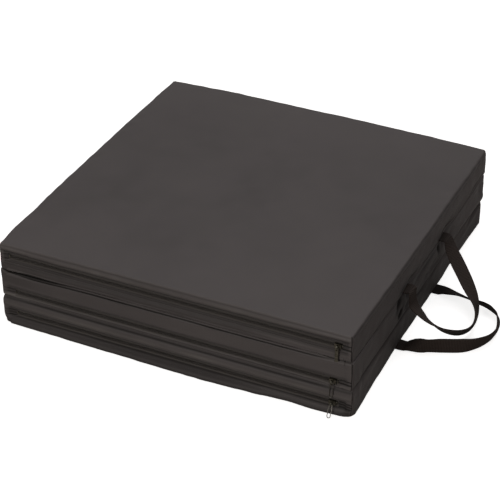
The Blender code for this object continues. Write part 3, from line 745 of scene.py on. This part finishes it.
def groupInputs(tree, entries):
    # named inputs; returns their identifiers for the modifier, and their wires
    tree.interface.new_socket(name="Points", in_out="INPUT", socket_type="NodeSocketGeometry")
    found = {}
    for label, kind in entries:
        socket = tree.interface.new_socket(name=label, in_out="INPUT", socket_type="NodeSocket" + kind)
        found[label] = socket.identifier
    tree.interface.new_socket(name="Result", in_out="OUTPUT", socket_type="NodeSocketGeometry")
    source = tree.nodes.new("NodeGroupInput")
    return found, {out.name: Wire(tree, out) for out in source.outputs if out.name}


def groupEnd(tree, instances, material):
    real = makeNode(tree, "GeometryNodeRealizeInstances", {}, instances)
    smooth = makeNode(tree, "GeometryNodeSetShadeSmooth", {}, real)
    painted = makeNode(tree, "GeometryNodeSetMaterial", {}, smooth, Material=material)
    tree.links.new(painted.out, tree.nodes.new("NodeGroupOutput").inputs[0])


def coilGroup():
    tree = bpy.data.node_groups.new("coilLoops", "GeometryNodeTree")
    ids, given = groupInputs(tree, [("Loop Height", "Float"), ("Loop Depth", "Float"), ("Wire Radius", "Float"),
                                    ("Slant", "Float"), ("Finish", "Material")])
    ring = makeNode(tree, "GeometryNodeCurvePrimitiveCircle", {"mode": "RADIUS"}, Resolution=8, Radius=1.0)
    shape = makeNode(tree, "ShaderNodeCombineXYZ", {}, given["Loop Height"], given["Loop Depth"], 1.0)
    ring = makeNode(tree, "GeometryNodeTransform", {}, ring, Scale=shape, Rotation=(0, math.pi / 2, 0))
    section = makeNode(tree, "GeometryNodeCurvePrimitiveCircle", {"mode": "RADIUS"}, Resolution=4,
                       Radius=given["Wire Radius"])
    loop = makeNode(tree, "GeometryNodeCurveToMesh", {}, ring, section)
    tilt = makeNode(tree, "GeometryNodeInputNamedAttribute", {"data_type": "FLOAT"}, Name="tilt")
    turn = makeNode(tree, "ShaderNodeCombineXYZ", {}, 0.0, tilt * given["Slant"], 0.0)
    turn = makeNode(tree, "FunctionNodeEulerToRotation", {}, turn)
    placed = makeNode(tree, "GeometryNodeInstanceOnPoints", {}, given["Points"], Instance=loop, Rotation=turn)
    groupEnd(tree, placed, given["Finish"])
    return tree, ids


def stitchGroup():
    tree = bpy.data.node_groups.new("threadStitches", "GeometryNodeTree")
    ids, given = groupInputs(tree, [("Stitch Length", "Float"), ("Thread Width", "Float"), ("Unevenness", "Float"),
                                    ("Seed", "Int"), ("Finish", "Material")])
    bead = makeNode(tree, "GeometryNodeMeshUVSphere", {}, Segments=6, Rings=5, Radius=0.5)
    run = makeNode(tree, "GeometryNodeInputNamedAttribute", {"data_type": "FLOAT_VECTOR"}, Name="run")
    out = makeNode(tree, "GeometryNodeInputNamedAttribute", {"data_type": "FLOAT_VECTOR"}, Name="out")
    turn = makeNode(tree, "FunctionNodeAlignRotationToVector", {"axis": "X"}, Vector=run)
    turn = makeNode(tree, "FunctionNodeAlignRotationToVector", {"axis": "Z", "pivot_axis": "X"}, turn, Vector=out)
    random = tree.nodes.new("FunctionNodeRandomValue")
    random.data_type = "FLOAT"
    random.inputs[2].default_value, random.inputs[3].default_value = -1.0, 1.0
    tree.links.new(given["Seed"].out, random.inputs[8])
    chance = Wire(tree, random.outputs[1])
    sway = makeNode(tree, "ShaderNodeCombineXYZ", {}, 0.0, 0.0, chance * given["Unevenness"])
    sway = makeNode(tree, "FunctionNodeEulerToRotation", {}, sway)
    turn = makeNode(tree, "FunctionNodeRotateRotation", {"rotation_space": "LOCAL"}, turn, sway)
    longWay = given["Stitch Length"] * (1 + chance * 0.08)
    size = makeNode(tree, "ShaderNodeCombineXYZ", {}, longWay, given["Thread Width"], given["Thread Width"] * 0.8)
    placed = makeNode(tree, "GeometryNodeInstanceOnPoints", {}, given["Points"], Instance=bead, Rotation=turn,
                      Scale=size)
    groupEnd(tree, placed, given["Finish"])
    return tree, ids


def pointsPiece(name, places, **attributes):
    mesh = bpy.data.meshes.new(name)
    mesh.from_pydata([tuple(map(float, p)) for p in places], [], [])
    for key, values in attributes.items():
        values = np.asarray(values, np.float32)
        vector = values.ndim == 2
        layer = mesh.attributes.new(key, "FLOAT_VECTOR" if vector else "FLOAT", "POINT")
        layer.data.foreach_set("vector" if vector else "value", values.ravel())
    return linked(name, mesh)


def grow(piece, group, settings):
    # runs a node group on a piece and keeps the plain mesh
    tree, ids = group
    nodes = piece.modifiers.new("nodes", "NODES")
    nodes.node_group = tree
    for label, value in settings.items():
        nodes[ids[label]] = value
    applied(piece)
    for key in ("tilt", "run", "out"):
        layer = piece.data.attributes.get(key)
        if layer:
            piece.data.attributes.remove(layer)


coilNodes, stitchNodes = coilGroup(), stitchGroup()
for key, spec in panels.items():
    z, end = spec["zip"], zipEnds[key]
    places, tilts = [], []
    for row, sign in ((0, 1), (1, -1)):
        first = -end + zips["wire"] + zips["clear"] + row * zips["pitch"] / 2
        for x in np.arange(first, end - zips["wire"] - zips["clear"], zips["pitch"]):
            places.append((x, zips["coilY"], z + sign * zips["rowOff"]))
            tilts.append(sign)
    coil = pointsPiece("zipCoil_" + key, places, tilt=tilts)
    grow(coil, coilNodes, {"Loop Height": zips["loopTall"], "Loop Depth": zips["loopDeep"],
                           "Wire Radius": zips["wire"], "Slant": zips["slant"], "Finish": coilLook})
    coreX, coreZ = [-end, -end / 2, 0, end / 2, end], [z - zips["coreHalf"], z, z + zips["coreHalf"]]
    core = makePiece("zipCore_" + key, *boxLattice(coreX, zips["core"], coreZ)[:2], tapeCloth)
    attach(core, spec["body"])
    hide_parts("zip_chain_" + key)
    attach(coil, spec["body"])
    left, right = spec["ends"][0] - 0.001, spec["ends"][1] - 0.001
    wide, tall = zips["tapeGrid"]
    gridX, gridZ = np.meshgrid(np.linspace(-left, right, wide),
                               np.linspace(-zips["tapeHalf"], zips["tapeHalf"], tall), indexing="ij")
    waves = 0.00012 * softNoise(gridX, gridZ, zips["seed"], 0.012) * smoothStep(np.abs(gridZ), 0.003, 0.006)
    waves = waves - 0.00025 * np.cos(gridZ * 2 * math.pi / pads["ribPitch"])
    waves = waves - 0.0016 * smoothStep(np.abs(gridZ), 0.0042, 0.0066)
    verts = np.stack([gridX, zips["tapeFront"] + zips["tapeThick"] / 2 + waves, z + gridZ], -1).reshape(-1, 3)
    quads = [[i * tall + j, (i + 1) * tall + j, (i + 1) * tall + j + 1, i * tall + j + 1]
             for i in range(wide - 1) for j in range(tall - 1)]
    tape = makePiece("zipTape_" + key, verts, quads, tapeCloth, uv=verts[:, [0, 2]] * 1000)
    thicken(tape, zips["tapeThick"] - 0.00025)
    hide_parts("zip_tape_" + key)
    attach(tape, spec["body"])
print("zips made")

sewing = dict(pitch=0.0031, stitch=0.0024, thread=0.00055, uneven=0.10, sunk=0.00005, away=0.33, zipGap=0.0034,
              cornerAt=0.2865, inset=0.009, zipClear=0.0085, roundEnd=0.284,
              round={"top": 0.1392, "bottom": 0.0098}, seed=7)


def seamLine(key, start, end, inward):
    # evenly spaced stitches where a line of rays meets the cover
    start, end, inward = Vector(start), Vector(end), Vector(inward).normalized()
    count = max(2, int((end - start).length / sewing["pitch"]))
    hits = []
    for k in range(count + 1):
        place, normal, _, _ = trees[key].ray_cast(start.lerp(end, k / count), inward)
        if place is not None:
            hits.append((np.array(place), np.array(normal)))
    rows = []
    for k, (place, normal) in enumerate(hits):
        run = hits[min(k + 1, len(hits) - 1)][0] - hits[max(k - 1, 0)][0]
        size = np.linalg.norm(run)
        if 0 < size < 4 * sewing["pitch"]:
            rows.append((place + normal * (sewing["thread"] * 0.4 - sewing["sunk"]), run / size, normal))
    return rows


def seamRows(key):
    # beside the zip, up the corners, and round the outer edge of the top and bottom panels
    spec, away, clear = panels[key], sewing["away"], sewing["zipClear"]
    reach, rows = zipEnds[key] - 0.002, []
    for sign in (1, -1):
        z = spec["zip"] + sign * (pads["bandHalf"] + sewing["zipGap"])
        if z - spec["low"] > 0.004:
            rows += seamLine(key, (-reach, -away, z), (reach, -away, z), (0, 1, 0))
    low, high = spec["low"] + sewing["inset"], spec["high"] - sewing["inset"]
    for x in (-sewing["cornerAt"], sewing["cornerAt"]):
        for sy in (-1, 1):
            spans = [(low, spec["zip"] - clear), (spec["zip"] + clear, high)] if sy < 0 else [(low, high)]
            for a, b in spans:
                if b - a > 0.006:
                    rows += seamLine(key, (x, sy * away, a), (x, sy * away, b), (0, -sy, 0))
    if key in sewing["round"]:
        z, end = sewing["round"][key], sewing["roundEnd"]
        for x in (away, -away):
            rows += seamLine(key, (x, -end, z), (x, end, z), (-x, 0, 0))
        rows += seamLine(key, (-end, away, z), (end, away, z), (0, -1, 0))
    return rows


for key, spec in panels.items():
    places, runs, outs = (np.array(part) for part in zip(*seamRows(key)))
    stitches = pointsPiece("stitches_" + key, places, run=runs, out=outs)
    grow(stitches, stitchNodes, {"Stitch Length": sewing["stitch"], "Thread Width": sewing["thread"],
                                 "Unevenness": sewing["uneven"], "Seed": sewing["seed"], "Finish": threadLook})
    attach(stitches, spec["body"])
print("stitches made")

# webbing straps. path in millimetres: beyond the side, along it, and for the upper one how far below the seam;
# turns: share of the length, then the way across the webbing there; shades: share of the length, then the painted
# shade there, darkest along the lower strap's back strand and near the roots
straps = {
    "lower": dict(
        home="panel_bottom", loop="loop_lower", z=0.0013, ends=(-0.0971, 0.0708), floor=0.0003, cup=0.20,
        shades=[(0, -0.4), (0.07, -0.3), (0.15, 0), (0.48, 0), (0.60, -0.62), (1, -0.7)],
        path=[(7.4, -97.1), (12.5, -97.2), (20, -98.8), (30, -100.3), (38.5, -99.5), (45.3, -97), (52.4, -93.6),
              (59.4, -90), (66.4, -86.8), (73.4, -83.8), (80.4, -80.7), (87.4, -77.3), (94.4, -73.5),
              (101.5, -68.9), (108, -63), (114, -56), (119.4, -47.9), (123.7, -38.5), (126.6, -27.9),
              (127.5, -16.2), (126, -3.8), (123, 8.7), (118.9, 20.8), (112.7, 30.8), (105.7, 37.9), (97.6, 42.8),
              (89.6, 46.6), (82.2, 49), (75, 50.3), (65, 53.5), (53.6, 56.9), (44.2, 60), (33.3, 63), (24.5, 65.5),
              (15, 68.8), (7.9, 70.5)],
        turns=[(0, 0, 1, 0), (0.012, 0, 1, 0), (0.03, 0, 0.94, 0.34), (0.06, 0, 0.55, 0.83),
               (0.09, 0.01, 0.16, 0.98), (0.12, 0.05, -0.1, 0.99), (0.15, 0.03, -0.08, 1), (0.18, 0, 0, 1),
               (0.28, 0, 0, 1), (0.3, 0.04, -0.05, 1), (0.325, 0.12, -0.12, 0.98), (0.35, 0.19, -0.15, 0.97),
               (0.38, 0.24, -0.16, 0.96), (0.405, 0.31, -0.15, 0.94), (0.435, 0.34, -0.13, 0.93),
               (0.465, 0.32, -0.08, 0.95), (0.495, 0.3, -0.02, 0.95), (0.53, 0.1, 0, 0.99),
               (0.57, -0.12, -0.01, 0.99), (0.605, -0.27, -0.07, 0.96), (0.645, -0.42, -0.22, 0.88),
               (0.68, -0.4, -0.33, 0.85), (0.71, -0.36, -0.43, 0.83), (0.74, -0.3, -0.54, 0.79),
               (0.765, -0.2, -0.64, 0.74), (0.79, -0.1, -0.71, 0.7), (0.815, 0, -0.77, 0.64),
               (0.85, 0, -0.83, 0.56), (0.885, 0, -0.87, 0.49), (0.92, 0, -0.94, 0.34), (0.95, 0, -0.98, 0.2),
               (0.985, 0, -1, 0), (1, 0, -1, 0)]),
    "upper": dict(
        home="panel_top", loop="loop_upper", z=0.1, ends=(-0.083, 0.078), floor=None, cup=0.0,
        shades=[(0, -0.3), (0.05, 0), (0.90, 0), (0.96, -0.45), (1, -0.6)],
        path=[(8.3, -83.2, 0.6), (10.2, -85, 5), (11.5, -87, 12.5), (13.5, -88.5, 20.5), (19, -90.5, 27),
              (27, -93, 31.8), (35.9, -94.5, 37.5), (45.1, -92.4, 44.9), (56, -86.5, 54.3), (65.8, -77.7, 63.1),
              (75.6, -65.4, 71.7), (83.5, -51.1, 78.2), (88.4, -35.4, 82.3), (90.4, -18.7, 83.8),
              (88.9, -2.5, 82.3), (84.5, 12.8, 78.2), (77.1, 26.4, 72.5), (67.8, 37.4, 65.1), (57.9, 46.2, 56.7),
              (47.6, 54.1, 46.9), (37.1, 60.5, 36.2), (28, 65.5, 26.2), (20, 70, 16.5), (14.5, 74.5, 8.5),
              (11.2, 77.5, 3.5), (8.3, 78, 0.6)],
        turns=[(0, 0, 1, 0), (0.025, 0, 1, 0), (0.08, 0.134, 0.977, -0.167), (0.12, 0.122, 0.939, -0.321),
               (0.16, -0.18, 0.931, -0.316), (0.2, -0.548, 0.789, -0.278), (0.24, -0.707, 0.62, -0.34),
               (0.28, -0.8, 0.396, -0.452), (0.33, -0.785, 0.213, -0.581), (0.42, -0.636, -0.005, -0.772),
               (0.48, -0.433, -0.021, -0.901), (0.52, -0.24, 0.053, -0.969), (0.56, 0.001, 0.223, -0.975),
               (0.6, 0.213, 0.392, -0.895), (0.64, 0.377, 0.598, -0.707), (0.69, 0.513, 0.775, -0.369),
               (0.75, 0.545, 0.827, -0.138), (0.86, 0.485, 0.875, 0.009), (0.93, 0.43, 0.885, -0.177),
               (0.975, 0, 1, 0), (1, 0, 1, 0)]),
}
strapCut = dict(width=0.027, thickness=0.0028, columns=14, steps=8, pivot=0.3034, rootFrom=0.2905, roots=5,
                easeLine=3, easeTurns=12, seam=0.0016)


def splinePoints(points, steps):
    fine = []
    for k in range(len(points) - 1):
        p0, p1, p2, p3 = (points[max(0, k - 1)], points[k], points[k + 1], points[min(len(points) - 1, k + 2)])
        for j in range(steps):
            t = j / steps
            fine.append(0.5 * (2 * p1 + (p2 - p0) * t + (2 * p0 - 5 * p1 + 4 * p2 - p3) * t * t
                               + (3 * p1 - p0 - 3 * p2 + p3) * t ** 3))
    return np.array(fine + [points[-1]])


def eased(rows, times):
    for _ in range(times):
        rows[1:-1] = rows[1:-1] * 0.5 + (rows[:-2] + rows[2:]) * 0.25
    return rows


def reachAlong(line):
    # how far along the line each of its points is
    return np.concatenate([[0], np.cumsum(np.linalg.norm(np.diff(line, axis=0), axis=1))])


def strapMesh(spec):
    (near, far), pivot, z = spec["ends"], strapCut["pivot"], spec["z"]
    run = [np.array((300 + out, at, 1000 * z - sum(drop))) / 1000 for out, at, *drop in spec["path"]]
    run = [np.array((pivot, near, z))] + run + [np.array((pivot, far, z))]
    line = eased(splinePoints(run, strapCut["steps"]), strapCut["easeLine"])
    reach = reachAlong(line)
    stops, *axes = zip(*spec["turns"])
    wides = eased(np.stack([np.interp(reach / reach[-1], stops, axis) for axis in axes], 1), strapCut["easeTurns"])
    # the sewn ends inside the panel
    roots = np.linspace(strapCut["rootFrom"], pivot, strapCut["roots"] + 1)[:-1]
    line = np.concatenate([[(x, near, z) for x in roots], line, [(x, far, z) for x in roots[::-1]]])
    wides = np.concatenate([[wides[0]] * len(roots), wides, [wides[-1]] * len(roots)])
    reach = reachAlong(line)
    along = np.gradient(line, axis=0)
    along /= np.linalg.norm(along, axis=1)[:, None]
    wides -= along * (wides * along).sum(1)[:, None]
    wides /= np.linalg.norm(wides, axis=1)[:, None]
    facing = np.cross(along, wides)
    halfW, halfT, columns = strapCut["width"] / 2, strapCut["thickness"] / 2, strapCut["columns"]
    shares = reach / reach[-1]
    narrow = 1 - spec["cup"] * bell(shares, 0.085, 0.035)      # the webbing cups where it twists up
    if spec["floor"] is not None:
        rise = np.abs(wides[:, 2])
        line[:, 2] = spec["floor"] + rise * halfW * narrow + np.sqrt(1 - rise ** 2) * halfT
    ring = []
    for k in range(columns + 1):
        u = -math.cos(math.pi * k / columns)
        ring.append((u * halfW, halfT * math.sqrt(max(0.0, 1 - abs(u) ** 9))))
    ring += [(u, -t) for u, t in ring[-2:0:-1]]
    verts, uv = [], []
    for p, w, n, v, thin in zip(line, wides, facing, reach, narrow):
        for u, t in ring:
            verts.append(p + w * u * thin + n * t)
            uv.append((u * 1000, v * 1000))
    size = len(ring)
    quads = [[r * size + c, r * size + (c + 1) % size, (r + 1) * size + (c + 1) % size, (r + 1) * size + c]
             for r in range(len(line) - 1) for c in range(size)]
    quads += [list(range(size))[::-1], [(len(line) - 1) * size + c for c in range(size)]]
    return verts, quads, uv, reach


for word, spec in straps.items():
    verts, quads, uv, reach = strapMesh(spec)
    strap = makePiece("strap_" + word, verts, quads, webbing, uv=uv)
    bm = bmesh.new()
    bm.from_mesh(strap.data)
    bmesh.ops.recalc_face_normals(bm, faces=bm.faces[:])
    bm.to_mesh(strap.data)
    bm.free()
    # painted shade along the strap, from its shades list
    shares = np.repeat(reach / reach[-1], len(verts) // len(reach))
    addPaintedShading(strap, np.interp(shares, *zip(*spec["shades"])))
    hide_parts("handle_" + word, "handle_tab_" + word + "_near", "handle_tab_" + word + "_far")
    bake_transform(strap)
    print("strap", word, "is", round(float(reach[-1]), 3), "m long")

finishes = {"zip_stop_": darkMetal, "pull_top": darkMetal, "pull_": brightMetal, "slider_": darkMetal}
for obj in list(bpy.data.objects):
    for start, material in finishes.items():
        if obj.name.startswith(start) and obj.type == "MESH":
            obj.data.materials.clear()
            obj.data.materials.append(material)
            break


cameraFit = dict(azimuth=24.88, elevation=34.13, distance=2.951, lens=127.5, shiftX=-0.00614, shiftY=0.03794)
# each lamp's place, target, size, power and colour
lamps = {
    "overheadSoft": ((0.1, 0.5, 2.6), (0, 0, 0.1), 2.2, 27, (1.0, 0.975, 1.0)),
    "frontFill": ((0.0, -2.9, 1.25), (0, -0.2, 0.1), 1.2, 33, (1.0, 0.948, 0.893)),
    "backFill": ((1.8, 2.4, 0.9), (0.2, 0.2, 0.1), 1.2, 0.7, (1.0, 0.92, 0.86)),
}
# the shares are how much of the white glossy rays see, because all of it would whiten the cloth
stageLook = dict(floorHalf=9, floorZ=-0.0005, dim=(0.30, 0.27, 0.25, 1), bright=(0.82, 0.82, 0.82, 1), glow=0.80,
                 floorShare=0.096, sky=(1.0, 0.88, 0.78, 1), skyPower=0.14, skyShare=0.35, white=(1, 1, 1, 1))


def makeCamera():
    fit = cameraFit
    az, el = math.radians(fit["azimuth"]), math.radians(fit["elevation"])
    back = Vector((math.sin(az) * math.cos(el), -math.cos(az) * math.cos(el), math.sin(el)))
    data = bpy.data.cameras.new("photoCamera")
    data.lens, data.sensor_width, data.clip_end = fit["lens"], 36.0, 50
    data.shift_x, data.shift_y = fit["shiftX"], fit["shiftY"]
    scene.camera = linked("photoCamera", data)
    aim(scene.camera, back * fit["distance"], -back)


def areaLight(name, place, target, size, power, colour):
    data = bpy.data.lights.new(name, "AREA")
    data.shape, data.size, data.energy, data.color = "DISK", size, power, colour
    aim(linked(name, data), place, Vector(target) - Vector(place))


def whiteRays(tree, share):
    # the camera's own rays, and the same with a share of the glossy ones
    seen = makeNode(tree, "ShaderNodeLightPath", {"pick": "Is Camera Ray"})
    shine = makeNode(tree, "ShaderNodeLightPath", {"pick": "Is Glossy Ray"})
    return seen, (seen + shine * share).least(1.0)


def makeFloor():
    look = stageLook
    material = bpy.data.materials.new("paleFloor")
    material.use_nodes = True
    tree = material.node_tree
    tree.nodes.clear()
    seen, white = whiteRays(tree, look["floorShare"])
    dim = makeNode(tree, "ShaderNodeBsdfDiffuse", {}, Color=look["dim"])
    bright = makeNode(tree, "ShaderNodeBsdfDiffuse", {}, Color=look["bright"])
    diffuse = makeNode(tree, "ShaderNodeMixShader", {}, seen, dim, bright)
    glow = makeNode(tree, "ShaderNodeEmission", {}, Color=look["white"], Strength=white * look["glow"])
    both = makeNode(tree, "ShaderNodeAddShader", {}, diffuse, glow)
    tree.links.new(both.out, tree.nodes.new("ShaderNodeOutputMaterial").inputs[0])
    side, z = look["floorHalf"], look["floorZ"]
    corners = [(-side, -side, z), (side, -side, z), (side, side, z), (-side, side, z)]
    makePiece("studioFloor", corners, [(0, 1, 2, 3)], material)


def makeSky():
    look = stageLook
    scene.world = bpy.data.worlds.new("studioWorld")
    scene.world.use_nodes = True
    tree = scene.world.node_tree
    tree.nodes.clear()
    soft = makeNode(tree, "ShaderNodeBackground", {}, Color=look["sky"], Strength=look["skyPower"])
    white = makeNode(tree, "ShaderNodeBackground", {}, Color=look["white"], Strength=1.0)
    mixed = makeNode(tree, "ShaderNodeMixShader", {}, whiteRays(tree, look["skyShare"])[1], soft, white)
    tree.links.new(mixed.out, tree.nodes.new("ShaderNodeOutputWorld").inputs[0])


makeCamera()
makeFloor()
makeSky()
for name, lamp in lamps.items():
    areaLight(name, *lamp)
print("stage, lights and camera made")
